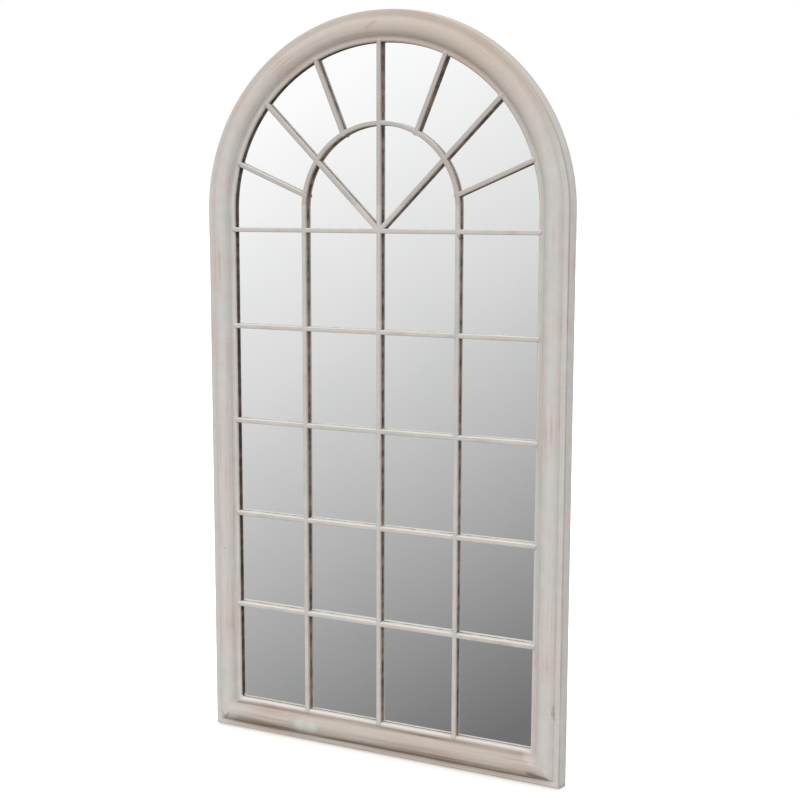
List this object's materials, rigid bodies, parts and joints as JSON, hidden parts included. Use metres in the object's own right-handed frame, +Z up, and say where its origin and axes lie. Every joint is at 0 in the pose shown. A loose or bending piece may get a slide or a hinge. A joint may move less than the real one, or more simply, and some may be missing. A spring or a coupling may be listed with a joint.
{
  "type": "arched window mirror",
  "caption": "Arched wall mirror in a hollow painted steel moulding, with glazing bars over the glass that form panes below and a fan of rays in the arch.",
  "frame": {"origin": "mid-width and mid-depth of the mirror, at its bottom edge", "axes": "+Z up along the mirror's height, +X to the right as seen from the front, -Y out of the mirror towards the viewer, +Y into the wall"},
  "size_m": [0.6, 0.03, 1.16],
  "materials": {
    "frame_paint": "distressed matt whitewash over brown on formed sheet steel",
    "bar_paint": "the same whitewash on steel glazing bars, worn to brown on their sides",
    "mirror_glass": "silvered float glass",
    "backing_board": "brown hardboard",
    "fittings": "bright zinc plate"
  },
  "bodies": {
    "root": {"bottom_rail": "frame_paint", "left_stile": "frame_paint", "right_stile": "frame_paint", "left_arch": "frame_paint", "right_arch": "frame_paint", "mirror_glass": "mirror_glass", "backing_board": "backing_board", "cross_bar_1": "bar_paint", "cross_bar_2": "bar_paint", "cross_bar_3": "bar_paint", "cross_bar_4": "bar_paint", "cross_bar_5": "bar_paint", "left_bar": "bar_paint", "right_bar": "bar_paint", "centre_bar": "bar_paint", "inner_arch": "bar_paint", "left_long_ray": "bar_paint", "right_long_ray": "bar_paint", "left_low_ray": "bar_paint", "left_high_ray": "bar_paint", "right_high_ray": "bar_paint", "right_low_ray": "bar_paint", "clip_01": "fittings", "clip_02": "fittings", "clip_03": "fittings", "clip_04": "fittings", "clip_05": "fittings", "clip_06": "fittings", "clip_07": "fittings", "clip_08": "fittings", "clip_09": "fittings", "clip_10": "fittings", "clip_screw_01": "fittings", "clip_screw_02": "fittings", "clip_screw_03": "fittings", "clip_screw_04": "fittings", "clip_screw_05": "fittings", "clip_screw_06": "fittings", "clip_screw_07": "fittings", "clip_screw_08": "fittings", "clip_screw_09": "fittings", "clip_screw_10": "fittings", "left_hanger": "fittings", "right_hanger": "fittings", "left_hanger_rivet_1": "fittings", "left_hanger_rivet_2": "fittings", "right_hanger_rivet_1": "fittings", "right_hanger_rivet_2": "fittings"}
  },
  "joints": []
}
